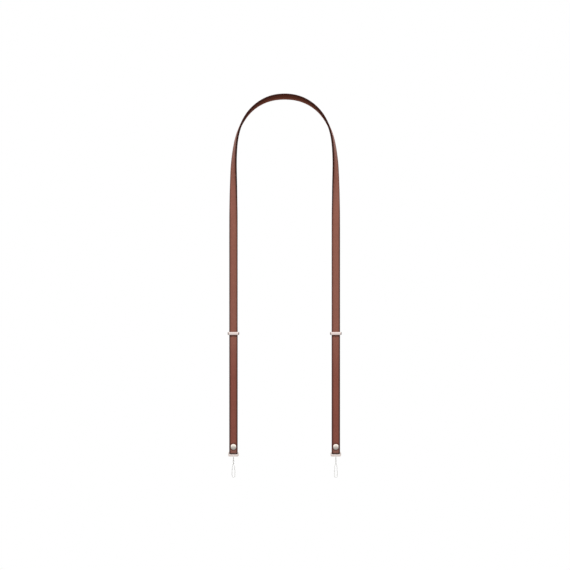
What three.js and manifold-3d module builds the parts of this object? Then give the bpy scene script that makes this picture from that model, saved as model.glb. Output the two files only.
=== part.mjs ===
// A phone shoulder strap: one narrow leather strap worn round the neck, with a metal slider, a rivet,
// a flat metal ring and a thin cord loop at each of its two lower ends.
// Millimetres, +Z up, front towards -Y. The origin is where the strap rests on the neck, under the
// middle of its top. Inside the model, drop is measured down from the middle line of the strap's top.
import * as THREE from 'three';
import { mergeVertices } from 'three/addons/utils/BufferGeometryUtils.js';
import Module from 'manifold-3d';

// Leather strap
const strapWidth = 10;
const strapThickness = 2.5;
const tailThickness = 1; // thinned end, round the ring and up behind the leg
const edgeRound = 0.6;
const layerGap = 0.4; // between a leg and its tail
const tailRise = 10; // tail's end above the middle of the slider
const tailCorner = 3;
const skiveBelowRivet = 2; // where the leather starts to thin towards the ring
const pinchBelowRivet = 2.2; // where leg and tail part to go round the ring

// The strap's middle line from the top of the neck down one leg: drop from the top, half span from
// the middle, lean back from the legs, and how far, in degrees, the outer face has turned outwards
// from the front.
const neckRows = [
  { drop: 0, halfSpan: 0, lean: 24.5, turn: 125 },
  { drop: 3.4, halfSpan: 20.8, lean: 23, turn: 118 },
  { drop: 9.8, halfSpan: 33.2, lean: 20.5, turn: 109 },
  { drop: 17.4, halfSpan: 42.2, lean: 17.7, turn: 101.5 },
  { drop: 32.7, halfSpan: 52.9, lean: 13.4, turn: 91.5 },
  { drop: 47.8, halfSpan: 58.8, lean: 10.2, turn: 80.5 },
  { drop: 65.4, halfSpan: 62, lean: 7.2, turn: 69 },
  { drop: 85.6, halfSpan: 63.6, lean: 4.7, turn: 54 },
  { drop: 105.7, halfSpan: 63.9, lean: 2.6, turn: 40 },
  { drop: 125.7, halfSpan: 64, lean: 1, turn: 25 },
  { drop: 147, halfSpan: 64, lean: 0.2, turn: 10 },
  { drop: 168, halfSpan: 64, lean: 0, turn: 2.5 },
  { drop: 190, halfSpan: 64, lean: 0, turn: 0.3 },
  { drop: 216, halfSpan: 64, lean: 0, turn: 0 },
];

// Heights of the metal pieces on each leg
const sliderDrop = 297.55;
const rivetDrop = 439.3;
const ringBarDrop = 446.45; // middle of the ring's upper bar

// Slider
const sliderWidth = 14.7;
const sliderHeight = 3.65;
const sliderWall = 1.2;
const sliderSideWall = 1.5;
const sliderClearance = 0.3;
const sliderCorner = 2.2;
const sliderInnerCorner = 0.9;
const sliderBevel = 0.35;

// Rivet
const rivetCapRadius = 3.65;
const rivetCapRim = 0.3;
const rivetCapDome = 1.2;
const rivetPostRadius = 1.5;
const rivetHoleRadius = 1.8;
const rivetBackRadius = 2.6;
const rivetBackHeight = 0.8;
const rivetBackChamfer = 0.4;
const rivetSeatGap = 0.15;

// Ring
const ringWidth = 13.2;
const ringDepth = 1.2;
const ringUpperBar = 1;
const ringSideBar = 1.2;
const ringSlot = 1.7;
const ringLowerBar = 2.8;
const ringCorner = 0.8;
const ringLowerCorner = 1.9;
const ringSlotCorner = 0.5;
const ringBevel = 0.25;
const ringHoleRadius = 0.8;
const foldClearance = 0.3; // between the ring's upper bar and the leather round it

// Cord
const cordDiameter = 0.8;
const cordEndGap = 0.3; // the two ends meet inside the ring's hole
const cordEyeRadius = 1.7;
const stemHalfGap = 0.45; // from the stem's axis to each strand
const stemTurn = 270; // degrees that the strands twist round each other
const eyeRows = [
  { drop: 453, halfGap: 1.42 },
  { drop: 454.15, halfGap: 0.82 },
];
const stemRows = { top: 455.2, bottom: 460.6 };
const loopRows = [
  { drop: 462.4, halfGap: 1.05 },
  { drop: 465.8, halfGap: 1.45 },
  { drop: 470.5, halfGap: 1.8 },
  { drop: 473.2, halfGap: 1.78 },
];
const loopRadius = 1.68; // half circle at the loop's lower end
const loopBottom = 477.2;

// How finely the curves are divided
const neckSteps = 44;
const legSteps = 6;
const skiveSteps = 4;
const foldSteps = 10;
const pinchSteps = 6;
const edgeSteps = 2;
const cornerSteps = 4;
const bevelSteps = 2;
const roundSteps = 24;
const domeSteps = 6;
const cordHoleSteps = 12;
const cordSides = 8;
const cordSteps = 80;
const eyeSteps = 5;
const stemSteps = 6;
const loopSteps = 4;

// Sizes that follow from those above
const legSpan = neckRows.at(-1).halfSpan;
const legTop = neckRows.at(-1).drop;
const halfThickness = strapThickness / 2;
const foldInner = ringDepth / 2 + foldClearance;
const ringPlane = tailThickness - halfThickness + foldInner; // behind the leg's middle line
const tailFace = halfThickness + layerGap + tailThickness; // outer face of the tail
const tailLine = tailFace - halfThickness;
const foldTailLine = ringPlane + foldInner + tailThickness - halfThickness;
const skiveTop = rivetDrop + skiveBelowRivet;
const skiveBottom = ringBarDrop - ringUpperBar / 2 - foldClearance;
const pinchTop = rivetDrop + pinchBelowRivet;
const tailEnd = sliderDrop - tailRise;
const cordHoleDrop = ringBarDrop + ringUpperBar / 2 + ringSlot + ringLowerBar / 2;

const leather = new THREE.MeshStandardMaterial({ color: 0x8a5a4b, roughness: 0.55, metalness: 0 });
const nickel = new THREE.MeshStandardMaterial({ color: 0xdedad6, roughness: 0.25, metalness: 1 });
const whiteCord = new THREE.MeshStandardMaterial({ color: 0xeeeeea, roughness: 0.7, metalness: 0 });

const wasm = await Module();
wasm.setup();

const smooth = (x) => THREE.MathUtils.smoothstep(x, 0, 1);

// Natural cubic spline through values at rising places
function splineThrough(places, values) {
  const last = places.length - 1;
  const bend = new Array(places.length).fill(0);
  const carry = new Array(places.length).fill(0);
  for (let i = 1; i < last; i += 1) {
    const before = places[i] - places[i - 1];
    const after = places[i + 1] - places[i];
    const slopeChange = (values[i + 1] - values[i]) / after - (values[i] - values[i - 1]) / before;
    const pivot = 2 * (before + after) - before * carry[i - 1];
    carry[i] = after / pivot;
    bend[i] = (6 * slopeChange - before * bend[i - 1]) / pivot;
  }
  for (let i = last - 1; i > 0; i -= 1) {
    bend[i] -= carry[i] * bend[i + 1];
  }
  return (place) => {
    const found = places.findIndex((start, i) => i > 0 && place <= start);
    const next = found < 0 ? last : found;
    const span = places[next] - places[next - 1];
    const b = (place - places[next - 1]) / span;
    const a = 1 - b;
    const bow = ((a ** 3 - a) * bend[next - 1] + (b ** 3 - b) * bend[next]) * (span * span) / 6;
    return a * values[next - 1] + b * values[next] + bow;
  };
}

// One place on the strap: a point on its line, its outer face, its front or inner edge, and its size there
function station(point, along, outward, thickness = strapThickness, width = strapWidth) {
  const edge = new THREE.Vector3().crossVectors(along, outward).normalize();
  return { point, outward, edge, thickness, width };
}

// Over the neck, from the middle of the top to the start of the right leg
function neckStations() {
  const mirrored = neckRows.slice(1).reverse().map((row) => ({ ...row, halfSpan: -row.halfSpan }));
  const rows = [...mirrored, ...neckRows];
  const points = rows.map((row) => new THREE.Vector3(row.halfSpan, row.lean, -row.drop));
  const places = [0];
  points.slice(1).forEach((point, i) => places.push(places[i] + point.distanceTo(points[i])));
  const column = (name) => splineThrough(places, rows.map((row) => row[name]));
  const [halfSpan, lean, drop, turn] = ['halfSpan', 'lean', 'drop', 'turn'].map(column);
  const at = (place) => new THREE.Vector3(halfSpan(place), lean(place), -drop(place));
  const top = places[mirrored.length];
  const nudge = 0.05;
  const stations = [];
  for (let i = 0; i < neckSteps; i += 1) {
    const place = top + ((places.at(-1) - top) * i) / neckSteps;
    const along = at(place + nudge).sub(at(place - nudge)).normalize();
    const front = new THREE.Vector3(0, -1, 0);
    front.addScaledVector(along, -front.dot(along)).normalize();
    const outside = new THREE.Vector3().crossVectors(front, along);
    const angle = THREE.MathUtils.degToRad(turn(place));
    const outward = front.multiplyScalar(Math.cos(angle)).addScaledVector(outside, Math.sin(angle));
    stations.push(station(at(place), along, outward));
  }
  return stations;
}

// A place in the upright plane of the right leg, where the strap runs at a slope from straight down
function legStation(back, drop, slope, thickness, width) {
  const along = new THREE.Vector3(0, Math.sin(slope), -Math.cos(slope));
  const outward = new THREE.Vector3(0, -Math.cos(slope), -Math.sin(slope));
  return station(new THREE.Vector3(legSpan, back, -drop), along, outward, thickness, width);
}

// Down the right leg, round the ring's upper bar and up behind the leg to the tail's rounded end
function legStations() {
  const stations = [];
  for (let i = 0; i <= legSteps; i += 1) {
    stations.push(legStation(0, THREE.MathUtils.lerp(legTop, skiveTop, i / legSteps), 0));
  }
  for (let i = 1; i <= skiveSteps; i += 1) {
    const part = i / skiveSteps;
    const thickness = THREE.MathUtils.lerp(strapThickness, tailThickness, smooth(part));
    stations.push(legStation(0, THREE.MathUtils.lerp(skiveTop, skiveBottom, part), 0, thickness));
  }
  for (let i = 0; i <= foldSteps; i += 1) {
    const slope = (Math.PI * i) / foldSteps;
    const back = ringPlane - ringPlane * Math.cos(slope);
    stations.push(legStation(back, ringBarDrop + ringPlane * Math.sin(slope), slope, tailThickness));
  }
  for (let i = 0; i <= pinchSteps; i += 1) {
    const part = i / pinchSteps;
    const rise = skiveBottom - pinchTop;
    const shift = foldTailLine - tailLine;
    const lean = Math.atan((shift * 6 * part * (1 - part)) / rise);
    const back = foldTailLine - shift * smooth(part);
    stations.push(legStation(back, skiveBottom - rise * part, Math.PI + lean, tailThickness));
  }
  for (let i = 0; i <= cornerSteps; i += 1) {
    const angle = (Math.PI / 2) * (i / cornerSteps);
    const width = strapWidth - 2 * tailCorner * (1 - Math.cos(angle));
    const drop = tailEnd + tailCorner * (1 - Math.sin(angle));
    stations.push(legStation(tailLine, drop, Math.PI, tailThickness, width));
  }
  return stations;
}

function mirrorStation({ point, outward, edge, thickness, width }) {
  const flip = (vector) => vector.clone().setX(-vector.x);
  return { point: flip(point), outward: flip(outward), edge: flip(edge), thickness, width };
}

// Points round a circle, its middle raised by lift
function circleOutline(radius, steps, lift = 0) {
  const points = [];
  for (let i = 0; i < steps; i += 1) {
    const angle = (2 * Math.PI * i) / steps;
    points.push(new THREE.Vector2(radius * Math.cos(angle), lift + radius * Math.sin(angle)));
  }
  return points;
}

// Points round a rectangle with round corners, its middle raised by lift
function roundedOutline(width, height, corner, steps, lift = 0, lowerCorner = corner) {
  const points = [];
  for (const [sideX, sideY, start] of [[1, 1, 0], [-1, 1, 1], [-1, -1, 2], [1, -1, 3]]) {
    const radius = sideY > 0 ? corner : lowerCorner;
    for (let i = 0; i <= steps; i += 1) {
      const angle = (Math.PI / 2) * (start + i / steps);
      const x = sideX * (width / 2 - radius) + radius * Math.cos(angle);
      const y = sideY * (height / 2 - radius) + radius * Math.sin(angle);
      points.push(new THREE.Vector2(x, lift + y));
    }
  }
  return points;
}

// A plate of an outline with holes, its edges rounded, from z = 0 up
function roundedPlate(outline, holes, height, bevel) {
  const shape = new THREE.Shape(outline);
  holes.forEach((hole) => shape.holes.push(new THREE.Path(hole)));
  const geometry = new THREE.ExtrudeGeometry(shape, {
    depth: height - 2 * bevel,
    bevelThickness: bevel,
    bevelSize: bevel,
    bevelOffset: -bevel,
    bevelSegments: bevelSteps,
  });
  return geometry.translate(0, 0, bevel);
}

// A straight strap, one step long for each station, laid along the stations
function strapGeometry() {
  const half = [...neckStations(), ...legStations()];
  const stations = [...half.slice(1).reverse(), ...half.map(mirrorStation)];
  const section = new THREE.Shape(roundedOutline(strapWidth, strapThickness, edgeRound, edgeSteps));
  const steps = stations.length - 1;
  const geometry = new THREE.ExtrudeGeometry(section, { depth: steps, steps, bevelEnabled: false });
  const position = geometry.attributes.position;
  const vertex = new THREE.Vector3();
  for (let i = 0; i < position.count; i += 1) {
    const { point, outward, edge, thickness, width } = stations[Math.round(position.getZ(i))];
    const across = position.getX(i) * (width / strapWidth);
    const inwards = (halfThickness - position.getY(i)) * (thickness / strapThickness);
    vertex.copy(point).addScaledVector(edge, across).addScaledVector(outward, halfThickness - inwards);
    position.setXYZ(i, vertex.x, vertex.y, vertex.z);
  }
  return geometry;
}

function toSolid(geometry) {
  const bare = geometry.clone();
  bare.deleteAttribute('normal');
  bare.deleteAttribute('uv');
  const merged = mergeVertices(bare);
  return new wasm.Manifold(new wasm.Mesh({
    numProp: 3,
    vertProperties: new Float32Array(merged.attributes.position.array),
    triVerts: new Uint32Array(merged.index.array),
  }));
}

function toGeometry(solid) {
  const mesh = solid.getMesh();
  const geometry = new THREE.BufferGeometry();
  geometry.setAttribute('position', new THREE.BufferAttribute(mesh.vertProperties, 3));
  geometry.setIndex(new THREE.BufferAttribute(mesh.triVerts, 1));
  geometry.computeVertexNormals();
  return geometry;
}

function rivetHole(legX) {
  const drillLength = 4 * tailFace;
  const hole = new THREE.CylinderGeometry(rivetHoleRadius, rivetHoleRadius, drillLength, roundSteps);
  return toSolid(hole.translate(legX, 0, -rivetDrop));
}

function drilledStrap() {
  const strap = toSolid(strapGeometry());
  return toGeometry(strap.subtract(rivetHole(legSpan)).subtract(rivetHole(-legSpan)));
}

// A band round the leg and its tail
function sliderGeometry() {
  const innerDepth = halfThickness + tailFace + 2 * sliderClearance;
  const innerWidth = sliderWidth - 2 * sliderSideWall;
  const outerDepth = innerDepth + 2 * sliderWall;
  const band = roundedOutline(sliderWidth, outerDepth, sliderCorner, cornerSteps);
  const opening = roundedOutline(innerWidth, innerDepth, sliderInnerCorner, cornerSteps);
  const geometry = roundedPlate(band, [opening], sliderHeight, sliderBevel);
  return geometry.translate(0, (tailFace - halfThickness) / 2, -sliderHeight / 2);
}

// Turned about the post, from the back head to the front cap
function rivetGeometry() {
  const back = tailFace + rivetSeatGap;
  const front = -halfThickness - rivetSeatGap;
  const profile = [
    new THREE.Vector2(0, back + rivetBackHeight),
    new THREE.Vector2(rivetBackRadius - rivetBackChamfer, back + rivetBackHeight),
    new THREE.Vector2(rivetBackRadius, back + rivetBackHeight - rivetBackChamfer),
    new THREE.Vector2(rivetBackRadius, back),
    new THREE.Vector2(rivetPostRadius, back),
    new THREE.Vector2(rivetPostRadius, front),
    new THREE.Vector2(rivetCapRadius, front),
  ];
  for (let i = 0; i <= domeSteps; i += 1) {
    const angle = (Math.PI / 2) * (i / domeSteps);
    const radius = i === domeSteps ? 0 : rivetCapRadius * Math.cos(angle);
    profile.push(new THREE.Vector2(radius, front - rivetCapRim - rivetCapDome * Math.sin(angle)));
  }
  return new THREE.LatheGeometry(profile.reverse(), roundSteps);
}

// Flat ring with a slot for the strap and a hole for the cord, its upper bar's middle at the origin
function ringGeometry() {
  const height = ringUpperBar + ringSlot + ringLowerBar;
  const middle = (ringUpperBar - height) / 2;
  const slotMiddle = -(ringUpperBar + ringSlot) / 2;
  const slotWidth = ringWidth - 2 * ringSideBar;
  const plate = roundedOutline(ringWidth, height, ringCorner, cornerSteps, middle, ringLowerCorner);
  const slot = roundedOutline(slotWidth, ringSlot, ringSlotCorner, cornerSteps, slotMiddle);
  const hole = circleOutline(ringHoleRadius, cordHoleSteps, ringBarDrop - cordHoleDrop);
  const geometry = roundedPlate(plate, [slot, hole], ringDepth, ringBevel);
  return geometry.translate(0, 0, -ringDepth / 2).rotateX(Math.PI / 2);
}

// One strand goes from the ring's hole out to the front, down the twisted stem and to the loop's
// bottom, and the other is the same half a turn round the stem
function cordRoute() {
  const strand = [];
  const eyeDrop = cordHoleDrop + cordEyeRadius;
  const firstAngle = cordEndGap / 2 / cordEyeRadius;
  for (let i = 0; i <= eyeSteps; i += 1) {
    const angle = THREE.MathUtils.lerp(firstAngle, Math.PI / 2, i / eyeSteps);
    const front = -cordEyeRadius * Math.sin(angle);
    strand.push(new THREE.Vector3(0, front, cordEyeRadius * Math.cos(angle) - eyeDrop));
  }
  eyeRows.forEach((row) => strand.push(new THREE.Vector3(0, -row.halfGap, -row.drop)));
  for (let i = 0; i <= stemSteps; i += 1) {
    const angle = THREE.MathUtils.degToRad((stemTurn * i) / stemSteps);
    const drop = THREE.MathUtils.lerp(stemRows.top, stemRows.bottom, i / stemSteps);
    strand.push(new THREE.Vector3(stemHalfGap * Math.sin(angle), -stemHalfGap * Math.cos(angle), -drop));
  }
  loopRows.forEach((row) => strand.push(new THREE.Vector3(-row.halfGap, 0, -row.drop)));
  for (let i = 0; i < loopSteps; i += 1) {
    const angle = (Math.PI / 2) * (i / loopSteps);
    const drop = loopBottom - loopRadius * (1 - Math.sin(angle));
    strand.push(new THREE.Vector3(-loopRadius * Math.cos(angle), 0, -drop));
  }
  const other = strand.map((point) => new THREE.Vector3(-point.x, -point.y, point.z));
  return [...strand, new THREE.Vector3(0, 0, -loopBottom), ...other.reverse()];
}

function cordGeometry() {
  const section = new THREE.Shape(circleOutline(cordDiameter / 2, cordSides));
  const extrudePath = new THREE.CatmullRomCurve3(cordRoute());
  return new THREE.ExtrudeGeometry(section, { steps: cordSteps, extrudePath });
}

function piece(name, geometry, material, position = new THREE.Vector3()) {
  const mesh = new THREE.Mesh(geometry, material);
  mesh.name = name;
  mesh.position.copy(position);
  return mesh;
}

const phoneStrap = new THREE.Group();
phoneStrap.add(piece('strap', drilledStrap(), leather));
for (const [side, legX] of [['left', -legSpan], ['right', legSpan]]) {
  const onLeg = (back, drop) => new THREE.Vector3(legX, back, -drop);
  phoneStrap.add(piece(`slider_${side}`, sliderGeometry(), nickel, onLeg(0, sliderDrop)));
  phoneStrap.add(piece(`rivet_${side}`, rivetGeometry(), nickel, onLeg(0, rivetDrop)));
  phoneStrap.add(piece(`ring_${side}`, ringGeometry(), nickel, onLeg(ringPlane, ringBarDrop)));
  phoneStrap.add(piece(`cord_${side}`, cordGeometry(), whiteCord, onLeg(ringPlane, 0)));
}

// Bring the middle of the strap's underside at the top to the origin
const top = neckStations()[0];
phoneStrap.position.copy(top.outward).multiplyScalar(halfThickness).sub(top.point);

export default phoneStrap;
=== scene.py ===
import math

import bmesh
import bpy
import numpy as np
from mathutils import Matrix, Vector


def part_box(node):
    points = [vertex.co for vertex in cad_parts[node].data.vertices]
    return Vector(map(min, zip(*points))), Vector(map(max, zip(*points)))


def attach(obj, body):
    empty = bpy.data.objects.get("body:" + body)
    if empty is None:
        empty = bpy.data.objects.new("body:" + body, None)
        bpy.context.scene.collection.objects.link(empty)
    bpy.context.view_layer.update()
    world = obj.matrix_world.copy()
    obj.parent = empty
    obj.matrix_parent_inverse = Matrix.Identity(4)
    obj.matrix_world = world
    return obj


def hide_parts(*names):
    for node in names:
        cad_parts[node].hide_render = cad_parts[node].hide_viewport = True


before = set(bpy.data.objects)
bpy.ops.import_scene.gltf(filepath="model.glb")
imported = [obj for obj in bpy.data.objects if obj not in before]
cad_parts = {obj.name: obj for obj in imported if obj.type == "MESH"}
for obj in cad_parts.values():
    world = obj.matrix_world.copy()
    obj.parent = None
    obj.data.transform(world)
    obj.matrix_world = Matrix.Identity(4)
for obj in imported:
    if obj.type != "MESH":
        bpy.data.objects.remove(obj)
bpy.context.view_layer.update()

quarterTurn = math.pi / 2
fullTurn = 2 * math.pi


# Small helpers


def tone(red, green, blue):
    # a colour as the eye reads it, 0 to 255, turned linear for the shaders
    linear = []
    for share in (red / 255, green / 255, blue / 255):
        if share <= 0.04045:
            linear.append(share / 12.92)
        else:
            linear.append(((share + 0.055) / 1.055) ** 2.4)
    return (*linear, 1.0)


def smooth(part):
    # 0 to 1, with soft ends
    part = np.clip(part, 0.0, 1.0)
    return part * part * (3 - 2 * part)


def unit(vectors):
    return vectors / np.linalg.norm(vectors, axis=-1, keepdims=True)


def boxOf(node):
    low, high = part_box(node)
    return np.array(low), np.array(high)


def middleOf(node):
    low, high = boxOf(node)
    return (low + high) / 2


def distanceAlong(points):
    steps = np.linalg.norm(np.diff(points, axis=0), axis=1)
    return np.concatenate([[0.0], np.cumsum(steps)])


def splineThrough(places, values):
    # natural cubic spline, one column of values at a time
    span = np.diff(places)
    slope = np.diff(values, axis=0) / span[:, None]
    last = len(places) - 1
    weights = np.eye(last + 1)
    pull = np.zeros(values.shape)
    for i in range(1, last):
        weights[i, i - 1:i + 2] = span[i - 1], 2 * (span[i - 1] + span[i]), span[i]
        pull[i] = 6 * (slope[i] - slope[i - 1])
    bend = np.linalg.solve(weights, pull)

    def at(where):
        after = np.clip(np.searchsorted(places, where), 1, last)
        step = span[after - 1][:, None]
        share = (where - places[after - 1])[:, None] / step
        rest = 1 - share
        bow = (rest ** 3 - rest) * bend[after - 1] + (share ** 3 - share) * bend[after]
        return rest * values[after - 1] + share * values[after] + bow * step ** 2 / 6

    return at


def addObject(name, data):
    added = bpy.data.objects.new(name, data)
    bpy.context.scene.collection.objects.link(added)
    return added


def newPiece(name, points, faces):
    mesh = bpy.data.meshes.new(name)
    mesh.from_pydata([tuple(point) for point in points], [], faces)
    mesh.validate()
    return addObject(name, mesh)


def shadeSoft(piece, angle):
    piece.data.shade_smooth()
    piece.data.set_sharp_from_angle(angle=math.radians(angle))


def closedPiece(name, points, faces, smoothAngle):
    # a solid piece, with its faces turned outwards
    piece = newPiece(name, points, faces)
    grown = bmesh.new()
    grown.from_mesh(piece.data)
    bmesh.ops.recalc_face_normals(grown, faces=grown.faces)
    grown.to_mesh(piece.data)
    grown.free()
    shadeSoft(piece, smoothAngle)
    return piece


def ringFaces(rings, sides, ends="capped"):
    # faces between neighbouring rings of points; the ends are capped, joined together or left open
    faces = []
    for i in range(rings if ends == "joined" else rings - 1):
        here = i * sides
        there = ((i + 1) % rings) * sides
        for j in range(sides):
            k = (j + 1) % sides
            faces.append((here + j, here + k, there + k, there + j))
    if ends == "capped":
        faces.append(tuple(range(sides - 1, -1, -1)))
        faces.append(tuple(range((rings - 1) * sides, rings * sides)))
    return faces


def pointValue(piece, name, values):
    layer = piece.data.attributes.new(name, "FLOAT", "POINT")
    layer.data.foreach_set("value", np.asarray(values, dtype=np.float32))


# Wiring of the finishes and the studio


def rampStops(ramp, stops):
    # greys from 0 to 1; a new ramp has its first two stops already
    ramp.interpolation = "B_SPLINE"
    for stop in stops[2:]:
        ramp.elements.new(stop[0])
    for element, (place, shade) in zip(ramp.elements, stops):
        element.position = place
        element.color = (shade, shade, shade, 1.0)


class Wire:
    # what comes out of a node; each sum with it adds a Math node

    def __init__(self, wiring, socket):
        self.wiring = wiring
        self.socket = socket

    def maths(self, operation, first, second):
        return self.wiring.node("ShaderNodeMath", {"operation": operation}, {0: first, 1: second})

    def __add__(self, other):
        return self.maths("ADD", self, other)

    def __radd__(self, other):
        return self.maths("ADD", other, self)

    def __sub__(self, other):
        return self.maths("SUBTRACT", self, other)

    def __rsub__(self, other):
        return self.maths("SUBTRACT", other, self)

    def __mul__(self, other):
        return self.maths("MULTIPLY", self, other)

    def __rmul__(self, other):
        return self.maths("MULTIPLY", other, self)


class Wiring:
    def __init__(self, tree):
        self.tree = tree

    def node(self, kind, settings, sockets, out=0):
        made = self.tree.nodes.new(kind)
        for setting, value in settings.items():
            if setting == "stops":
                rampStops(made.color_ramp, value)
            else:
                setattr(made, setting, value)
        for socket, value in sockets.items():
            self.feed(made.inputs[socket], value)
        return Wire(self, made.outputs[out])

    def feed(self, socket, value):
        if isinstance(value, Wire):
            self.tree.links.new(value.socket, socket)
        else:
            socket.default_value = value

    def between(self, value, low, high):
        # 0 at low, 1 at high, with soft ends
        sockets = {"Value": value, "From Min": low, "From Max": high, "To Min": 0.0, "To Max": 1.0}
        return self.node("ShaderNodeMapRange", {"interpolation_type": "SMOOTHSTEP"}, sockets)

    def part(self, vector, axis):
        return self.node("ShaderNodeSeparateXYZ", {}, {0: vector}, axis)


class Finish(Wiring):
    def __init__(self, name, constants):
        self.material = bpy.data.materials.new(name)
        self.material.use_nodes = True
        super().__init__(self.material.node_tree)
        self.surface = self.tree.nodes["Principled BSDF"]
        for socket, value in constants.items():
            self.surface.inputs[socket].default_value = value

    def paint(self, sockets):
        for socket, value in sockets.items():
            self.feed(self.surface.inputs[socket], value)
        return self.material

    def place(self):
        return self.node("ShaderNodeTexCoord", {}, {}, "Object")

    def pointValue(self, name):
        return self.node("ShaderNodeAttribute", {"attribute_name": name}, {}, "Fac")

    def stretch(self, vector, scale):
        return self.node("ShaderNodeVectorMath", {"operation": "MULTIPLY"}, {0: vector, 1: scale})

    def noise(self, vector, scale, detail, roughness):
        sockets = {"Vector": vector, "Scale": scale, "Detail": detail, "Roughness": roughness}
        return self.node("ShaderNodeTexNoise", {}, sockets, "Fac")

    def cells(self, vector, scale, feature):
        sockets = {"Vector": vector, "Scale": scale}
        return self.node("ShaderNodeTexVoronoi", {"feature": feature}, sockets)

    def furrows(self, vector, scale, width):
        # 0 along the lines between cells, 1 away from them
        return self.between(self.cells(vector, scale, "DISTANCE_TO_EDGE"), 0.0, width)

    def waver(self, vector, scale, reach):
        # the same places, pushed about by a noise
        sockets = {"Vector": vector, "Scale": scale, "Detail": 1.0}
        drift = self.node("ShaderNodeTexNoise", {}, sockets, "Color")
        sockets = {0: drift, 1: (reach, reach, reach), 2: vector}
        return self.node("ShaderNodeVectorMath", {"operation": "MULTIPLY_ADD"}, sockets)

    def mix(self, factor, first, second):
        return self.node("ShaderNodeMix", {"data_type": "RGBA"}, {0: factor, 6: first, 7: second}, 2)

    def bump(self, height, distance):
        return self.node("ShaderNodeBump", {}, {"Height": height, "Distance": distance, "Strength": 1.0})


# Sizes that more than one piece needs, in metres

strapMake = {
    "width": 0.010,
    "thickness": 0.0025,
    "tailThickness": 0.001,
    "edgeRound": 0.0006,
    "edgeSwell": 0.00025,  # the painted edge is a little domed
    "crown": 0.0001,  # and so are the faces
    "layerGap": 0.0004,  # between the leg and the tail behind it
    "tailRise": 0.010,  # the tail ends this far above the slider
    "tailCorner": 0.003,
    "endRound": 0.0004,
    "endReach": 0.0009,  # from the middle of the tail's cut end over to its face
    "skiveBelowRivet": 0.002,  # where the leather starts to thin towards the fold
    "pinchBelowRivet": 0.0022,  # where the tail leaves the leg again
    "foldClearance": 0.0003,
    "foldSwell": 0.00017,  # the thinned leather bulges where it goes round the ring's bar
    "foldShadeFrom": 0.25,  # painted shade under the fold, where its leather faces down, from this much facing down
    "foldShadeTo": 0.65,  # to this much
    "dentDepth": 0.0004,  # where the rivet presses
    "dentReach": 0.0018,
    # painted shade in the rivets' dents, as a share of the dent
    "dentShade": 0.1,
    "facing": 0.9,  # how straight to the front or back the leather faces where a rivet can press it
    "across": 24,
    "cornerSteps": 5,
    "neckStep": 0.002,
    "legStep": 0.003,
    "rivetStep": 0.00035,
    "rivetArea": 0.006,  # the finer steps start this far above the rivet
    "foldSteps": 28,
    "pinchSteps": 14,
    "tailSteps": 14,
    "smoothAngle": 50.0,
}

# the strap's line from its top to the legs: drop below the top, half span, lean back from the legs, and
# how far in degrees the outer face has turned outwards from the front
neckRows = np.array([
    (0.0, 0.0, 0.0245, 125.0),
    (0.0034, 0.0208, 0.023, 118.0),
    (0.0098, 0.0332, 0.0205, 109.0),
    (0.0174, 0.0422, 0.0177, 101.5),
    (0.0327, 0.0529, 0.0134, 91.5),
    (0.0478, 0.0588, 0.0102, 80.5),
    (0.0654, 0.062, 0.0072, 69.0),
    (0.0856, 0.0636, 0.0047, 54.0),
    (0.1057, 0.0639, 0.0026, 40.0),
    (0.1257, 0.064, 0.001, 25.0),
    (0.147, 0.064, 0.0002, 10.0),
    (0.168, 0.064, 0.0, 2.5),
    (0.19, 0.064, 0.0, 0.3),
    (0.216, 0.064, 0.0, 0.0),
])

rivetMake = {
    "capRadius": 0.00365,
    "capDome": 0.0012,
    "capFullness": (2.3, 0.77),  # a shallow ball's cap has about 2 and 1, half an ellipsoid 2 and 0.5
    "rimRound": 0.00012,
    "postRadius": 0.0015,
    "backRadius": 0.0026,
    "backRound": 0.0004,
    "backDimple": 0.0011,
    "dimpleDepth": 0.00018,
    "seat": 0.00035,  # how deep the heads sit in the leather
    "turnSteps": 80,
    "capSteps": 26,
    "rimSteps": 5,
    "backSteps": 8,
    "dimpleShares": np.linspace(0.25, 1.0, 6),
    "smoothAngle": 40.0,
    "polish": 0.1,  # least roughness of the plate
    "scratch": 0.7,
    "dull": tone(198, 190, 181),
    "bright": tone(210, 202, 192),
}

ringMake = {
    "upperBar": 0.001,
    "sideBar": 0.0012,
    "slot": 0.0017,
    "corner": 0.0008,
    "lowerCorner": 0.0019,
    "slotCorner": 0.0005,
    "holeRadius": 0.0008,
    "edgeRound": 0.00018,
    "edgeSteps": 5,
    "cornerSteps": 10,
    "holeSteps": 40,
    "weld": 0.000002,
    "smoothAngle": 40.0,
    "polish": 0.06,
    "scratch": 1.5,
    "dull": tone(220, 206, 200),
    "bright": tone(231, 219, 213),
}

halfThickness = strapMake["thickness"] / 2
legSpan = neckRows[-1, 1]
topTurn = math.radians(neckRows[0, 3])
topOutward = np.array([0.0, -math.cos(topTurn), math.sin(topTurn)])
toFrame = topOutward * halfThickness - np.array([0.0, neckRows[0, 2], 0.0])  # from strap line to frame

ringLow, ringHigh = boxOf("ring_right")
ringLowerBar = ringHigh[2] - ringLow[2] - ringMake["upperBar"] - ringMake["slot"]
ringPlane = middleOf("ring_right")[1] - toFrame[1]

# how far below the top of the strap's line each of these is
sliderDrop = toFrame[2] - middleOf("slider_right")[2]
rivetDrop = toFrame[2] - middleOf("rivet_right")[2]
ringBarDrop = toFrame[2] - ringHigh[2] + ringMake["upperBar"] / 2
cordHoleDrop = toFrame[2] - ringLow[2] - ringLowerBar / 2


# Camera: level, far in front, as the photo was taken

cameraMake = {
    "away": 4.0,  # in front of the strap's legs
    "fieldWidth": 0.7125,  # what the photo spans at the legs
    "sideways": 0.00044,
    "belowTop": 0.236992,  # under the top of the strap's line
    "sensor": 36.0,
    "reach": 60.0,
}


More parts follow.
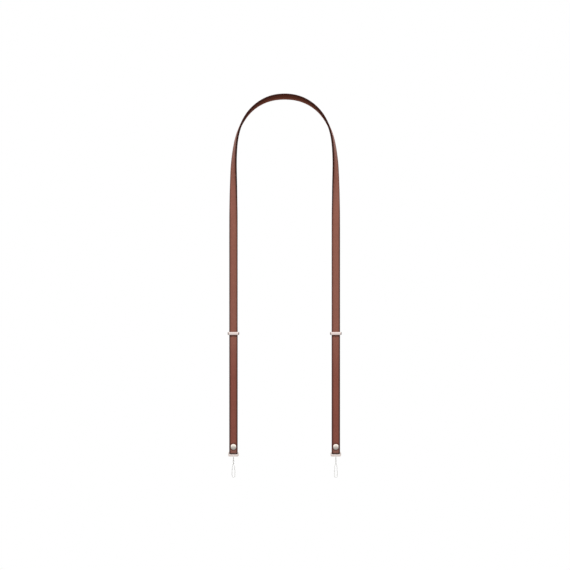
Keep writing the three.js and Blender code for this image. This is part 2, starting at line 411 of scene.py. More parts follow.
def photoCamera():
    make = cameraMake
    lens = bpy.data.cameras.new("photoCamera")
    lens.sensor_width = make["sensor"]
    lens.lens = make["sensor"] * make["away"] / make["fieldWidth"]
    lens.clip_end = make["reach"]
    camera = addObject("photoCamera", lens)
    camera.location = (make["sideways"], toFrame[1] - make["away"], toFrame[2] - make["belowTop"])
    camera.rotation_euler = (quarterTurn, 0.0, 0.0)
    bpy.context.scene.camera = camera


photoCamera()
print("camera set")


# Cords: each leaves the ring's hole to the front and the back, twists into a stem and opens into a loop

cordMake = {
    "diameter": 0.0008,
    "endGap": 0.0003,  # between the cord's two ends, in the hole
    "eyeRadius": 0.0017,
    "eyeRows": [(0.453, 0.00142), (0.45415, 0.00082)],  # drop, half gap between the strands
    "stemHalfGap": 0.00045,
    "stemTurn": 270.0,
    "stemTop": 0.4552,
    "stemBottom": 0.4606,
    "loopRows": [(0.4624, 0.00105), (0.4658, 0.00145), (0.4705, 0.0018), (0.4732, 0.00178)],
    "loopRadius": 0.00168,  # half circle at the loop's lower end
    "loopBottom": 0.4772,
    "eyeSteps": 5,
    "stemSteps": 6,
    "loopSteps": 4,
    "rings": 900,
    "sides": 36,
    "pathStep": 9,
    "plaitStrands": 3,
    "plaitPitch": 0.0013,
    "plaitLift": 0.00006,
    "plaitFlat": 0.7,
    "smoothAngle": 60.0,
}

whiteCordMake = {
    "cloth": {"Sheen Weight": 0.25, "Sheen Roughness": 0.5, "Specular IOR Level": 0.35},
    "fibres": (9000.0, 3.0, 0.6),  # noises: scale, detail, roughness
    "handling": (160.0, 2.0, 0.5),
    "clean": (tone(253, 252, 249), tone(247, 246, 242)),
    "plaitValleyShade": tone(232, 230, 226),  # painted shade between the plait's strands
    "plaitValleyShadeTo": 0.8,
    "holeShade": tone(196, 176, 170),  # painted shade where the cord goes into the ring's hole
    "holeShadeShare": 0.7,
    "holeShadeFrom": (-0.0003, 0.0008),  # above the ring's lowest edge
    "roughness": 0.72,
    "fibreRoughness": 0.14,
    "plaitRelief": 0.6,
    "relief": 0.00003,
}


def cordRoute(legX):
    # one strand from the hole to the loop's lowest point, and its mate back up
    make = cordMake
    eye = make["eyeRadius"]
    stem = make["stemHalfGap"]
    loop = make["loopRadius"]
    strand = []
    for angle in np.linspace(make["endGap"] / 2 / eye, quarterTurn, make["eyeSteps"] + 1):
        strand.append((0.0, -eye * math.sin(angle), eye * math.cos(angle) - cordHoleDrop - eye))
    for drop, halfGap in make["eyeRows"]:
        strand.append((0.0, -halfGap, -drop))
    for share in np.linspace(0.0, 1.0, make["stemSteps"] + 1):
        angle = math.radians(make["stemTurn"] * share)
        drop = make["stemTop"] + (make["stemBottom"] - make["stemTop"]) * share
        strand.append((stem * math.sin(angle), -stem * math.cos(angle), -drop))
    for drop, halfGap in make["loopRows"]:
        strand.append((-halfGap, 0.0, -drop))
    for angle in np.linspace(0.0, quarterTurn, make["loopSteps"], endpoint=False):
        drop = make["loopBottom"] - loop * (1 - math.sin(angle))
        strand.append((-loop * math.cos(angle), 0.0, -drop))
    mate = [(-x, -y, z) for x, y, z in strand]
    route = np.array([*strand, (0.0, 0.0, -make["loopBottom"]), *reversed(mate)])
    return route + toFrame + np.array([legX, ringPlane, 0.0])


def plaitHeight(angle, reach):
    # 0 in the valleys of the plait and up to 1 on its strands, over the cord's surface
    make = cordMake
    flat = make["plaitFlat"]
    wind = 2 * reach / make["plaitPitch"]
    strands = make["plaitStrands"] * angle / math.pi
    rising = strands + wind
    falling = strands - wind

    def strandShape(across, along):
        bulge = np.abs(np.sin(math.pi * along))
        return np.abs(np.sin(math.pi * across)) * (flat + (1 - flat) * bulge)

    risingOver = (np.floor(rising) + np.floor(falling)) % 2 == 0
    return np.sqrt(np.where(risingOver, strandShape(falling, rising), strandShape(rising, falling)))


def plaitedCord(name, legX):
    make = cordMake
    route = cordRoute(legX)
    places = distanceAlong(route)
    line = splineThrough(places, route)(np.linspace(0.0, places[-1], make["rings"]))
    along = unit(np.gradient(line, axis=0))
    sideways = np.zeros_like(line)
    sideways[0] = unit(np.cross(along[0], (1.0, 0.0, 0.0)))
    for i in range(1, len(line)):  # carry the first side along without twisting it
        sideways[i] = unit(sideways[i - 1] - along[i] * np.dot(sideways[i - 1], along[i]))
    upward = np.cross(along, sideways)
    angle = np.linspace(0.0, fullTurn, make["sides"], endpoint=False)[None, :]
    plait = plaitHeight(angle, distanceAlong(line)[:, None])
    radius = make["diameter"] / 2 - make["plaitLift"] * (1 - plait)
    around = np.cos(angle)[..., None] * sideways[:, None, :]
    around = around + np.sin(angle)[..., None] * upward[:, None, :]
    points = line[:, None, :] + radius[..., None] * around
    faces = ringFaces(make["rings"], make["sides"])
    piece = closedPiece(name, points.reshape(-1, 3), faces, make["smoothAngle"])
    pointValue(piece, "plait", plait.ravel())
    return piece, line


def whiteCordFinish():
    make = whiteCordMake
    finish = Finish("whiteCord", make["cloth"])
    place = finish.place()
    raised = finish.pointValue("plait")
    fibre = finish.noise(place, *make["fibres"])
    clean = finish.mix(finish.noise(place, *make["handling"]), *make["clean"])
    # painted shade in the plait's valleys, where the strands shade each other
    colour = finish.mix(finish.between(raised, 0.0, make["plaitValleyShadeTo"]), make["plaitValleyShade"], clean)
    # painted shade where the cord goes into the ring's hole
    holeShadeLow, holeShadeHigh = make["holeShadeFrom"]
    holeShaded = finish.between(finish.part(place, "Z"), ringLow[2] + holeShadeLow, ringLow[2] + holeShadeHigh)
    colour = finish.mix(make["holeShadeShare"] * holeShaded, colour, make["holeShade"])
    return finish.paint({
        "Base Color": colour,
        "Roughness": make["roughness"] + make["fibreRoughness"] * fibre,
        "Normal": finish.bump(fibre + make["plaitRelief"] * raised, make["relief"]),
    })


whiteCord = whiteCordFinish()
for side, legX in (("left", -legSpan), ("right", legSpan)):
    piece, line = plaitedCord(f"loopCord_{side}", legX)
    piece.data.materials.append(whiteCord)
    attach(piece, "strap_body")
    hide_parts(f"cord_{side}")
print("cords hung")


# Strap leather: one half is made of stations, and the other half mirrors it. A station has its place,
# the directions along the strap and out of its outer face, thickness, width and the rounding of its end.


def neckStations():
    # from the middle of the neck to the top of the right leg
    make = strapMake
    mirrored = neckRows[:0:-1] * np.array([1.0, -1.0, 1.0, 1.0])
    rows = np.vstack([mirrored, neckRows])
    points = np.column_stack([rows[:, 1], rows[:, 2], -rows[:, 0]])
    places = distanceAlong(points)
    at = splineThrough(places, np.column_stack([points, rows[:, 3]]))
    top = places[len(mirrored)]
    count = round((places[-1] - top) / make["neckStep"])
    where = np.linspace(top, places[-1], count, endpoint=False)
    nudge = 0.00005  # either side of a place, to read its direction
    spots = at(where)
    along = unit(at(where + nudge)[:, :3] - at(where - nudge)[:, :3])
    front = np.array([[0.0, -1.0, 0.0]])
    front = unit(front - along * np.sum(front * along, axis=1, keepdims=True))
    outside = np.cross(front, along)
    turn = np.radians(spots[:, 3:4])
    outward = front * np.cos(turn) + outside * np.sin(turn)
    sizes = (make["thickness"], make["width"], 0.0)
    return [(spots[i, :3], along[i], outward[i], *sizes) for i in range(count)]


def legStations():
    # down the right leg, round the ring's bar, and up behind the leg as the tail
    make = strapMake
    full = make["thickness"]
    thin = make["tailThickness"]
    stations = []

    def add(back, drop, slope=0.0, thickness=full, width=make["width"], inset=0.0):
        spot = np.array([legSpan, back, -drop])
        down = np.array([0.0, math.sin(slope), -math.cos(slope)])
        away = np.array([0.0, -math.cos(slope), -math.sin(slope)])
        stations.append((spot, down, away, thickness, width, inset))

    def spaced(first, final, step):
        count = max(2, round(abs(final - first) / step))
        return np.linspace(first, final, count, endpoint=False)

    fineTop = rivetDrop - make["rivetArea"]
    skiveTop = rivetDrop + make["skiveBelowRivet"]
    skiveBottom = ringBarDrop - ringMake["upperBar"] / 2 - make["foldClearance"]
    pinchTop = rivetDrop + make["pinchBelowRivet"]
    tailLine = make["layerGap"] + thin
    foldTailLine = 2 * ringPlane
    tailEnd = sliderDrop - make["tailRise"]

    # the leg, thinned below its rivet
    for drop in spaced(neckRows[-1, 0], fineTop, make["legStep"]):
        add(0.0, drop)
    for drop in spaced(fineTop, skiveTop, make["rivetStep"]):
        add(0.0, drop)
    for drop in spaced(skiveTop, skiveBottom, make["rivetStep"]):
        part = smooth((drop - skiveTop) / (skiveBottom - skiveTop))
        add(0.0, drop, 0.0, full + (thin - full) * part)
    add(0.0, skiveBottom, 0.0, thin)

    # the fold round the ring's bar
    for slope in np.linspace(0.0, math.pi, make["foldSteps"] + 1):
        swell = make["foldSwell"] * math.sin(slope) ** 2
        radius = ringPlane + swell
        drop = ringBarDrop + radius * math.sin(slope)
        add(ringPlane - radius * math.cos(slope), drop, slope, thin + swell)

    # back to the leg, in the way that smooth() bends
    rise = skiveBottom - pinchTop
    shift = foldTailLine - tailLine
    for part in np.linspace(0.0, 1.0, make["pinchSteps"], endpoint=False):
        lean = math.atan(shift * 6 * part * (1 - part) / rise)
        add(foldTailLine - shift * smooth(part), skiveBottom - rise * part, math.pi + lean, thin)

    # up behind the leg to the tail's rounded end
    for drop in spaced(pinchTop, fineTop, make["rivetStep"]):
        add(tailLine, drop, math.pi, thin)
    for drop in spaced(fineTop, tailEnd + make["tailCorner"], make["legStep"]):
        add(tailLine, drop, math.pi, thin)
    for angle in np.linspace(0.0, quarterTurn, make["tailSteps"]):
        width = make["width"] - 2 * make["tailCorner"] * (1 - math.cos(angle))
        left = make["tailCorner"] * (1 - math.sin(angle))  # how much tail is still to come
        rounded = max(0.0, make["endRound"] - left)
        inset = make["endRound"] - math.sqrt(make["endRound"] ** 2 - rounded ** 2)
        add(tailLine, tailEnd + left, math.pi, thin, width, inset)
    return stations


def strapSection():
    # across and depth from the outer face, both for the full leather, once round
    make = strapMake
    half = make["width"] / 2
    corner = make["edgeRound"]
    flat = half - corner
    outer = []
    for x in np.linspace(flat, -flat, make["across"] + 1):
        outer.append((x, -make["crown"] * (1 - (x / flat) ** 2)))
    edge = []
    for angle in np.linspace(0.0, quarterTurn, make["cornerSteps"] + 1)[1:]:
        edge.append((-flat - corner * math.sin(angle), corner * (1 - math.cos(angle))))
    middle = (-half - make["edgeSwell"], halfThickness)
    lower = [(x, make["thickness"] - depth) for x, depth in reversed(edge)]
    halfRound = [*outer, *edge, middle, *lower]
    otherHalf = [(-x, make["thickness"] - depth) for x, depth in halfRound]
    return np.array(halfRound + otherHalf)


def rivetDent(points, outward, isOuter):
    # 1 under the rivet's cap and back head, falling to 0 around them
    make = strapMake
    fromRivet = np.hypot(points[..., 0] - legSpan, points[..., 2] + rivetDrop)
    isFront = outward[:, 1] < -make["facing"]
    isBack = outward[:, 1] > make["facing"]
    dent = np.zeros(fromRivet.shape)
    for radius, isHere in ((rivetMake["capRadius"], isFront), (rivetMake["backRadius"], isBack)):
        under = 1 - smooth((fromRivet - radius) / make["dentReach"])
        dent = np.maximum(dent, np.where(isOuter & isHere[:, None], under, 0.0))
    return dent


def edgeReach(section):
    # how far each point of the section is from the middle of the nearer cut edge, over the surface
    wayRound = distanceAlong(np.vstack([section, section[:1]]))
    across = np.abs(section[:, 0])
    reaches = []
    for i in np.flatnonzero(np.isclose(across, across.max())):
        gap = np.abs(wayRound[:-1] - wayRound[i])
        reaches.append(np.minimum(gap, wayRound[-1] - gap))
    return np.minimum.reduce(reaches)


def leatherStrap():
    make = strapMake
    stations = neckStations() + legStations()
    spot, along, outward, thickness, width, inset = [np.array(column) for column in zip(*stations)]
    section = strapSection()
    edgeWay = unit(np.cross(along, outward))
    narrow = width / make["width"] - 2 * inset / make["width"]
    squeeze = (1 - 2 * inset / thickness) * thickness / make["thickness"]
    across = section[None, :, 0] * narrow[:, None]
    depth = inset[:, None] + section[None, :, 1] * squeeze[:, None]
    right = spot[:, None, :] + across[..., None] * edgeWay[:, None, :]
    right = right + (halfThickness - depth)[..., None] * outward[:, None, :]

    isOuter = (section[:, 1] <= 0.0)[None, :]
    dent = rivetDent(right, outward, isOuter)
    right = right - make["dentDepth"] * dent[..., None] * outward[:, None, :]

    # what the finish reads from the mesh
    # painted shade where the leather under the fold faces down
    foldSpan = make["foldShadeTo"] - make["foldShadeFrom"]
    underFold = smooth((-outward[:, 2] - make["foldShadeFrom"]) / foldSpan)
    underFoldShade = np.where(isOuter, underFold[:, None], 0.0)
    toEnd = distanceAlong(spot)
    toEnd = toEnd[-1] - toEnd
    values = {
        "edgeReach": np.minimum(edgeReach(section) * narrow[:, None], toEnd[:, None] + make["endReach"]),
        "innerSide": np.broadcast_to(section[:, 1] / make["thickness"], dent.shape),
        "frontward": np.broadcast_to(section[:, 0] / make["width"], dent.shape),
        # painted shade under the folds and round the rivets
        "pressed": np.maximum(underFoldShade, make["dentShade"] * dent),
    }

    mirror = np.array([-1.0, 1.0, 1.0])
    points = np.concatenate([right[:0:-1], right * mirror]) + toFrame
    faces = ringFaces(len(points), len(section))
    piece = closedPiece("leatherStrap", points.reshape(-1, 3), faces, make["smoothAngle"])
    for name, half in values.items():
        pointValue(piece, name, np.concatenate([half[:0:-1], half]).ravel())
    return piece


brownLeatherMake = {
    "shine": {"Specular IOR Level": 0.1, "Coat Roughness": 0.4},
    "fleshFrom": (0.5, 0.7),  # share of the thickness where the grain side turns into the flesh side
    "clouds": (55.0, 3.0, 0.55),  # noises: scale, detail, roughness
    "flecks": (620.0, 3.0, 0.6),
    "pores": (6500.0, 2.0, 0.6),
    "nap": (1700.0, 5.0, 0.72),
    "napWaver": (700.0, 0.0009),  # scale and reach
    "grainWaver": (2600.0, 0.00028),
    "pebbles": 2300.0,
    "creaseWidth": 0.3,
    "wrinkles": 720.0,
    "wrinkleWidth": 0.1,
    "upper": (tone(142, 88, 73), tone(160, 102, 86)),
    "lower": (tone(132, 70, 56), tone(149, 82, 67)),  # a little deeper
    "lowerFrom": (0.01, -0.07),  # above the sliders
    "furrow": tone(84, 42, 31),
    "creaseShade": 0.22,
    "wrinkleShade": 0.12,
    "fleck": tone(164, 106, 88),
    "fleckShade": 0.22,
    # painted shade under the folds and in the rivets' dents
    "pressed": tone(48, 20, 14),
    "contactShadeShare": 0.9,
    "thinned": tone(152, 124, 116),  # greyer below the rivets, where it bends: a painted sheen, which also lightens the rivets' cast shadows
    "thinnedShade": 0.25,
    "thinnedFrom": (-0.0028, -0.0042),  # above the rivets
    "ragged": 0.00035,  # how uneven the borders are
    "border": tone(70, 35, 26),
    "borderFrom": (0.0036, 0.0022),  # from the middle of the cut edge
    "borderShade": 0.45,
    "borderLower": 0.25,  # more of it below the sliders
    "flesh": (tone(140, 75, 56), tone(160, 91, 71)),
    "fleshDark": tone(108, 54, 39),
    "fleshDarkShade": 0.6,
    "napFrom": (0.35, 0.7),
    "fleshSideLight": tone(206, 124, 100),  # painted light on the flesh side where it lies on the neck, towards the wearer's back
    "fleshSideLightAcross": (0.15, -0.35),
    "fleshSideLightHeight": (-0.09, -0.03),
    "fleshSideLightShare": 0.4,  # the nap makes up the rest
    "paint": (tone(34, 13, 8), tone(54, 24, 16)),
    "paintFrom": (0.0018, 0.0015),
    "paintRim": tone(72, 36, 27),
    "paintRimFrom": (0.0008, 0.0016),
    "roughness": 0.5,
    "fleckRoughness": 0.12,
    "fleshRoughness": 0.2,
    "paintGloss": 0.06,
    "creaseRoughness": 0.06,
    "coat": 0.36,
    "coatOnTop": 0.12,  # more between the creases
    "creaseRelief": 0.6,
    "wrinkleRelief": 0.4,
    "pebbleRelief": 0.4,
    "poreRelief": 0.35,
    "fleshRelief": 1.1,
    "fleshPores": 0.5,
    "paintRelief": 0.3,
    "relief": 0.000045,
}


def leatherFinish():
    make = brownLeatherMake
    finish = Finish("brownLeather", make["shine"])
    place = finish.place()
    height = finish.part(place, "Z")
    reach = finish.pointValue("edgeReach")
    pressed = finish.pointValue("pressed")
    flesh = finish.between(finish.pointValue("innerSide"), *make["fleshFrom"])
    clouds = finish.noise(place, *make["clouds"])
    flecks = finish.noise(place, *make["flecks"])
    pores = finish.noise(place, *make["pores"])
    wavy = finish.waver(place, *make["grainWaver"])
    pebble = finish.cells(wavy, make["pebbles"], "SMOOTH_F1")
    crease = finish.furrows(wavy, make["pebbles"], make["creaseWidth"])
    wrinkle = finish.furrows(wavy, make["wrinkles"], make["wrinkleWidth"])
    nap = finish.noise(finish.waver(place, *make["napWaver"]), *make["nap"])

    def byHeight(drop, span):
        # 0 to 1 from one height to another, told from a place that is so far below the strap's top
        return finish.between(height, *[toFrame[2] - drop + rise for rise in span])

    # grain side
    lower = byHeight(sliderDrop, make["lowerFrom"])
    face = finish.mix(lower, finish.mix(clouds, *make["upper"]), finish.mix(clouds, *make["lower"]))
    furrowed = make["creaseShade"] * (1 - crease) + make["wrinkleShade"] * (1 - wrinkle)
    face = finish.mix(furrowed, face, make["furrow"])
    face = finish.mix(make["fleckShade"] * flecks, face, make["fleck"])
    # painted shade under the fold and round the rivets
    face = finish.mix(make["contactShadeShare"] * pressed, face, make["pressed"])
    # painted sheen below the rivets, which also lightens the rivets' cast shadows
    thinned = byHeight(rivetDrop, make["thinnedFrom"])
    face = finish.mix(make["thinnedShade"] * thinned, face, make["thinned"])
    ragged = reach + make["ragged"] * (flecks - 0.5)
    border = finish.between(ragged, *make["borderFrom"])
    face = finish.mix(border * (make["borderShade"] + make["borderLower"] * lower), face, make["border"])

    # flesh side
    worn = finish.mix(clouds, *make["flesh"])
    matted = finish.mix(make["fleshDarkShade"], worn, make["fleshDark"])
    back = finish.mix(finish.between(nap, *make["napFrom"]), matted, worn)
    # painted light on the flesh side at the top of the strap, towards one edge
    fleshSideLight = finish.between(finish.pointValue("frontward"), *make["fleshSideLightAcross"])
    fleshSideLight = fleshSideLight * finish.between(height, *make["fleshSideLightHeight"])
    fleshSideLight = fleshSideLight * (make["fleshSideLightShare"] + (1 - make["fleshSideLightShare"]) * nap)
    back = finish.mix(fleshSideLight, back, make["fleshSideLight"])

    # painted edges
    painted = finish.between(ragged, *make["paintFrom"])
    edge = finish.mix(flecks, *make["paint"])
    edge = finish.mix(finish.between(reach, *make["paintRimFrom"]), edge, make["paintRim"])

    bare = (1 - painted) * (1 - flesh)
    grain = make["creaseRelief"] * crease + make["wrinkleRelief"] * wrinkle
    grain = grain + make["pebbleRelief"] * (1 - pebble) + make["poreRelief"] * pores
    fibres = flesh * (1 - painted) * (nap + make["fleshPores"] * pores)
    relief = bare * grain + make["fleshRelief"] * fibres + make["paintRelief"] * painted * flecks
    roughness = make["roughness"] + make["fleckRoughness"] * flecks + make["fleshRoughness"] * flesh
    roughness = roughness - make["paintGloss"] * painted + make["creaseRoughness"] * (1 - crease)
    return finish.paint({
        "Base Color": finish.mix(painted, finish.mix(flesh, face, back), edge),
        "Roughness": roughness,
        "Coat Weight": bare * (1 - pressed) * (make["coat"] + make["coatOnTop"] * crease),
        "Normal": finish.bump(relief, make["relief"]),
    })


strap = leatherStrap()
strap.data.materials.append(leatherFinish())
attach(strap, "strap_body")
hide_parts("strap")
print("strap laid,", len(strap.data.vertices), "points")


# Metal pieces

nickelMake = {
    "film": (180.0, 3.0, 0.6),  # noises: scale, detail, roughness
    "fine": (2600.0, 2.0, 0.6),
    "drawn": (1.0, 3.0, 0.65),
    "drawnStretch": (160.0, 900.0, 5200.0),  # long scratches across, from polishing
    "speck": tone(172, 164, 157),
    "speckFrom": (0.55, 0.8),
    "speckShade": 0.18,
    "filmRoughness": 0.10,
    "fineRoughness": 0.05,
    "scratchDepth": 0.000004,
}

sliderMake = {
    "wall": 0.0012,
    "sideWall": 0.0015,
    "corner": 0.003,
    "innerCorner": 0.0009,
    "edgeRound": 0.00035,
    "crown": 0.00007,
    "cornerSteps": 12,
    "straightSteps": 6,
    "edgeSteps": 6,
    "faceRows": 7,
    "smoothAngle": 40.0,
    "polish": 0.06,
    "scratch": 1.5,
    "dull": tone(223, 207, 201),
    "bright": tone(234, 220, 214),
}


def nickelFinish(name, pieceMake):
    make = nickelMake
    finish = Finish(name, {"Metallic": 1.0})
    place = finish.place()
    film = finish.noise(place, *make["film"])
    fine = finish.noise(place, *make["fine"])
    drawn = finish.noise(finish.stretch(place, make["drawnStretch"]), *make["drawn"])
    colour = finish.mix(film, pieceMake["dull"], pieceMake["bright"])
    specks = make["speckShade"] * finish.between(fine, *make["speckFrom"])
    roughness = pieceMake["polish"] + make["filmRoughness"] * film + make["fineRoughness"] * fine
    return finish.paint({
        "Base Color": finish.mix(specks, colour, make["speck"]),
        "Roughness": roughness,
        "Normal": finish.bump(drawn, make["scratchDepth"] * pieceMake["scratch"]),
    })


def roundedOutline(width, height, corner, lowerCorner, steps, straight=1):
    # once round a rectangle with round corners, with the same number of points whatever its size
    corners = []
    for sideX, sideY, start in ((1, 1, 0), (-1, 1, 1), (-1, -1, 2), (1, -1, 3)):
        radius = corner if sideY > 0 else lowerCorner
        angles = quarterTurn * (start + np.linspace(0.0, 1.0, steps + 1))
        x = sideX * (width / 2 - radius) + radius * np.cos(angles)
        y = sideY * (height / 2 - radius) + radius * np.sin(angles)
        corners.append(np.column_stack([x, y]))
    shares = (np.arange(1, straight) / straight)[:, None]
    outline = []
    for here, following in zip(corners, corners[1:] + corners[:1]):
        outline += [here, (1 - shares) * here[-1] + shares * following[0]]
    return np.vstack(outline)


def sliderBand(name, node):
    make = sliderMake
    low, high = boxOf(node)
    size = high - low
    steps = (make["cornerSteps"], make["straightSteps"])
    innerSize = size[:2] - 2 * np.array([make["sideWall"], make["wall"]])
    outer = roundedOutline(size[0], size[1], make["corner"], make["corner"], *steps)
    inner = roundedOutline(*innerSize, make["innerCorner"], make["innerCorner"], *steps)

    # the wall's section, once round from the foot of its outer face: depth into the wall, and height
    rim = make["edgeRound"]
    wall = make["wall"]
    straight = size[2] / 2 - rim
    bend = np.linspace(0.0, quarterTurn, make["edgeSteps"] + 1)
    rise = np.linspace(-straight, straight, make["faceRows"])
    outerFace = [(make["crown"] * (z / straight) ** 2, z) for z in rise]
    upperOut = []
    for angle in bend[1:]:
        upperOut.append((make["crown"] + rim * (1 - math.cos(angle)), straight + rim * math.sin(angle)))
    upperIn = [(wall - rim * (1 - math.sin(angle)), straight + rim * math.cos(angle)) for angle in bend]
    lowerIn = [(depth, -z) for depth, z in reversed(upperIn)]
    lowerOut = [(depth, -z) for depth, z in reversed(upperOut)]
    section = np.array(outerFace + upperOut + upperIn + lowerIn + lowerOut)

    share = section[None, :, :1] / wall
    flat = outer[:, None, :] * (1 - share) + inner[:, None, :] * share
    height = np.broadcast_to(section[None, :, 1:], (len(outer), len(section), 1))
    points = np.concatenate([flat, height], axis=2) + (low + high) / 2
    faces = ringFaces(len(outer), len(section), "joined")
    return closedPiece(name, points.reshape(-1, 3), faces, make["smoothAngle"])


def rivetProfile(capTop, backTop):
    # radius and depth from the middle of the back head's dimple to the middle of the cap
    make = rivetMake
    front = toFrame[1] - halfThickness + make["seat"]
    tailFace = toFrame[1] + halfThickness + strapMake["layerGap"] + strapMake["tailThickness"]
    back = tailFace - make["seat"]
    profile = [(0.0, backTop - make["dimpleDepth"])]
    for share in make["dimpleShares"]:
        sink = make["dimpleDepth"] * (1 - smooth(share))
        profile.append((make["backDimple"] * share, backTop - sink))
    for angle in np.linspace(0.0, quarterTurn, make["backSteps"]):
        radius = make["backRadius"] - make["backRound"] * (1 - math.sin(angle))
        profile.append((radius, backTop - make["backRound"] * (1 - math.cos(angle))))
    profile.append((make["backRadius"], back))
    profile.append((make["postRadius"], back))
    profile.append((make["postRadius"], front))
    rim = make["rimRound"]
    for angle in np.linspace(0.0, quarterTurn, make["rimSteps"]):
        radius = make["capRadius"] - rim * (1 - math.sin(angle))
        profile.append((radius, front - rim * (1 - math.cos(angle))))
    power, root = make["capFullness"]
    for share in np.sin(np.linspace(quarterTurn, 0.0, make["capSteps"]))[:-1]:
        fall = 1 - (1 - share ** power) ** root
        profile.append((make["capRadius"] * share, capTop + make["capDome"] * fall))
    profile.append((0.0, capTop))
    return np.array(profile)


def turnedRivet(name, node):
    make = rivetMake
    low, high = boxOf(node)
    centre = (low + high) / 2
    profile = rivetProfile(low[1], high[1])
    radius, depth = profile[1:-1].T
    steps = make["turnSteps"]
    turn = np.linspace(0.0, fullTurn, steps, endpoint=False)
    x = centre[0] + radius[:, None] * np.cos(turn)
    z = centre[2] + radius[:, None] * np.sin(turn)
    y = np.broadcast_to(depth[:, None], x.shape)
    rings = np.stack([x, y, z], axis=-1).reshape(-1, 3)
    middles = [(centre[0], profile[end, 1], centre[2]) for end in (0, -1)]
    faces = ringFaces(len(radius), steps, "open")
    lastRing = (len(radius) - 1) * steps
    for j in range(steps):
        k = (j + 1) % steps
        faces.append((len(rings), j, k))
        faces.append((len(rings) + 1, lastRing + k, lastRing + j))
    return closedPiece(name, np.vstack([rings, middles]), faces, make["smoothAngle"])


def ringCurve(name, size):
    # the ring's outline, slot and cord hole as one flat filled curve with rounded edges
    make = ringMake
    steps = make["cornerSteps"]
    slotWidth = size[0] - 2 * make["sideBar"]
    slotMiddle = size[2] / 2 - make["upperBar"] - make["slot"] / 2
    holeMiddle = -size[2] / 2 + ringLowerBar / 2
    turn = np.linspace(0.0, fullTurn, make["holeSteps"], endpoint=False)
    body = roundedOutline(size[0], size[2], make["corner"], make["lowerCorner"], steps)
    slot = roundedOutline(slotWidth, make["slot"], make["slotCorner"], make["slotCorner"], steps)
    hole = np.column_stack([np.cos(turn), np.sin(turn)]) * make["holeRadius"]
    drawn = bpy.data.curves.new(name, "CURVE")
    drawn.dimensions = "2D"
    drawn.fill_mode = "BOTH"
    drawn.extrude = size[1] / 2 - make["edgeRound"]
    drawn.bevel_depth = make["edgeRound"]
    drawn.bevel_resolution = make["edgeSteps"]
    drawn.offset = -make["edgeRound"]
    for outline in (body, slot + (0.0, slotMiddle), hole + (0.0, holeMiddle)):
        spline = drawn.splines.new("POLY")
        spline.points.add(len(outline) - 1)
        for point, (x, y) in zip(spline.points, outline):
            point.co = (x, y, 0.0, 1.0)
        spline.use_cyclic_u = True
    return drawn


def flatRing(name, node):
    make = ringMake
    low, high = boxOf(node)
    centre = (low + high) / 2
    drawn = ringCurve(name, high - low)
    holder = addObject(name + "Drawn", drawn)
    solid = holder.evaluated_get(bpy.context.evaluated_depsgraph_get())
    shaped = bpy.data.meshes.new_from_object(solid)
    bpy.data.objects.remove(holder)
    bpy.data.curves.remove(drawn)
    grown = bmesh.new()
    grown.from_mesh(shaped)
    bmesh.ops.remove_doubles(grown, verts=grown.verts, dist=make["weld"])
    for corner in grown.verts:  # stand the flat ring up
        x, y, z = corner.co
        corner.co = Vector((x + centre[0], centre[1] - z, y + centre[2]))
    bmesh.ops.recalc_face_normals(grown, faces=grown.faces)
    grown.to_mesh(shaped)
    grown.free()
    piece = addObject(name, shaped)
    shadeSoft(piece, make["smoothAngle"])
    return piece


sliderNickel = nickelFinish("sliderNickel", sliderMake)
rivetNickel = nickelFinish("rivetNickel", rivetMake)
ringNickel = nickelFinish("ringNickel", ringMake)
for side in ("left", "right"):
    band = sliderBand(f"sliderBand_{side}", f"slider_{side}")
    band.data.materials.append(sliderNickel)
    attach(band, f"slider_{side}_body")
    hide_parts(f"slider_{side}")
    rivet = turnedRivet(f"domedRivet_{side}", f"rivet_{side}")
    rivet.data.materials.append(rivetNickel)
    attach(rivet, "strap_body")
    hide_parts(f"rivet_{side}")
    ring = flatRing(f"flatRing_{side}", f"ring_{side}")
    ring.data.materials.append(ringNickel)
    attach(ring, "strap_body")
    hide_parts(f"ring_{side}")
print("metal pieces set")


# Studio: a pale floor well below, and a soft surround that is brightest in front and above, with a pale
# panel and a dark strip to each side for the metal to reflect

studioMake = {
    "floorZ": -0.62,
    "floorSize": 40.0,
    "aim": (0.0, 0.0, -0.25),  # what the lamps point at
    "brightest": 65.0,  # height in degrees, in front, of the brightest part of the surround
    "shades": [(0.0, 0.19), (0.25, 0.23), (0.46, 0.265), (0.71, 0.36), (0.86, 0.55), (1.0, 0.72)],
    "strength": 0.935,
    "glossGain": 1.685,  # added to what metal and gloss reflect of the surround
    "panelFrom": (0.1, 0.5),  # panels and strips: squares of how far a direction points sideways
    "panelTo": (0.95, 0.65),
    "panelHeight": (-0.45, 0.4),
    "panelGain": 0.32,
    "sideFrom": (0.68, 0.9),
    "sideShade": 0.45,  # how much darker the surround is at the far left and right
    "stripTop": (0.12, 0.04),
    "stripFoot": (-0.25, -0.1),
    "stripDim": 0.95,  # how much of its gloss the strip there loses
}
keyMake = {"power": 94.0, "size": 0.42, "place": (0.0, -1.33, 2.45)}  # above and in front
rearMake = {"power": 75.0, "size": 2.0, "place": (0.0, 2.6, 0.9)}  # fills the back


def paleFloor():
    half = studioMake["floorSize"] / 2
    z = studioMake["floorZ"]
    corners = [(-half, -half, z), (half, -half, z), (half, half, z), (-half, half, z)]
    floor = newPiece("paleFloor", corners, [(0, 1, 2, 3)])
    # evenly white to the camera, and no light on the strap
    glow = {"Base Color": (0.0, 0.0, 0.0, 1.0), "Specular IOR Level": 0.0, "Emission Strength": 1.0}
    floor.data.materials.append(Finish("paleFloor", glow).material)
    floor.visible_diffuse = False
    floor.visible_glossy = False


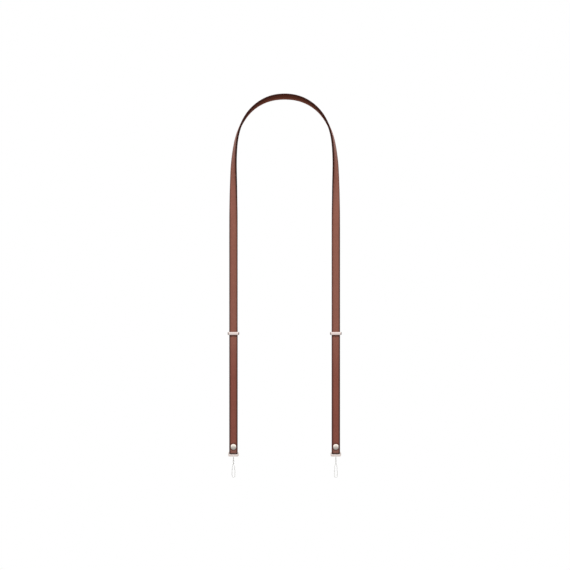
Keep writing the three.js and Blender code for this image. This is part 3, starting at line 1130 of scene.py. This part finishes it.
def studioWorld():
    make = studioMake
    world = bpy.data.worlds.new("studio")
    bpy.context.scene.world = world
    world.use_nodes = True
    sky = Wiring(world.node_tree)
    tilt = math.radians(make["brightest"])
    brightWay = (0.0, -math.cos(tilt), math.sin(tilt))
    away = sky.node("ShaderNodeTexCoord", {}, {}, "Generated")
    dot = {"operation": "DOT_PRODUCT"}
    facing = sky.node("ShaderNodeVectorMath", dot, {0: away, 1: brightWay}, "Value")
    upward = sky.part(away, "Z")
    acrossWay = sky.part(away, "X")
    sideways = acrossWay * acrossWay
    panel = sky.between(sideways, *make["panelFrom"]) * sky.between(sideways, *make["panelTo"])
    panel = panel * sky.between(upward, *make["panelHeight"])
    farSide = sky.between(sideways, *make["sideFrom"])
    strip = farSide * sky.between(upward, *make["stripTop"]) * sky.between(upward, *make["stripFoot"])
    lift = 0.5 + 0.5 * facing  # 1 at the brightest part, 0 opposite
    lift = lift + make["panelGain"] * panel - make["sideShade"] * farSide
    shade = sky.node("ShaderNodeValToRGB", {"stops": make["shades"]}, {"Fac": lift}, "Color")

    # the gain counts for gloss alone, and only before the light has met a dull surface
    glossy = sky.node("ShaderNodeLightPath", {}, {}, "Is Glossy Ray")
    dullBounces = sky.node("ShaderNodeLightPath", {}, {}, "Diffuse Depth")
    straight = sky.node("ShaderNodeMath", {"operation": "LESS_THAN"}, {0: dullBounces, 1: 0.5})
    gloss = glossy * straight * (1 - make["stripDim"] * strip)
    strength = make["strength"] + make["glossGain"] * gloss
    light = sky.node("ShaderNodeBackground", {}, {"Color": shade, "Strength": strength})

    # the camera sees plain white behind the strap
    plain = sky.node("ShaderNodeBackground", {}, {"Color": (1.0, 1.0, 1.0, 1.0)})
    seen = sky.node("ShaderNodeLightPath", {}, {}, "Is Camera Ray")
    either = sky.node("ShaderNodeMixShader", {}, {0: seen, 1: light, 2: plain})
    sky.feed(world.node_tree.nodes["World Output"].inputs["Surface"], either)


def softLamp(name, make):
    # kept out of the metal's reflections, which show the surround alone
    lamp = bpy.data.lights.new(name, "AREA")
    lamp.shape = "SQUARE"
    lamp.size = make["size"]
    lamp.energy = make["power"]
    stand = addObject(name, lamp)
    stand.location = make["place"]
    towards = Vector(studioMake["aim"]) - stand.location
    stand.rotation_euler = towards.to_track_quat("-Z", "Y").to_euler()
    stand.visible_glossy = False


paleFloor()
studioWorld()
softLamp("keyLamp", keyMake)
softLamp("rearLamp", rearMake)
bpy.context.scene.view_settings.view_transform = "Standard"
print("studio lit")

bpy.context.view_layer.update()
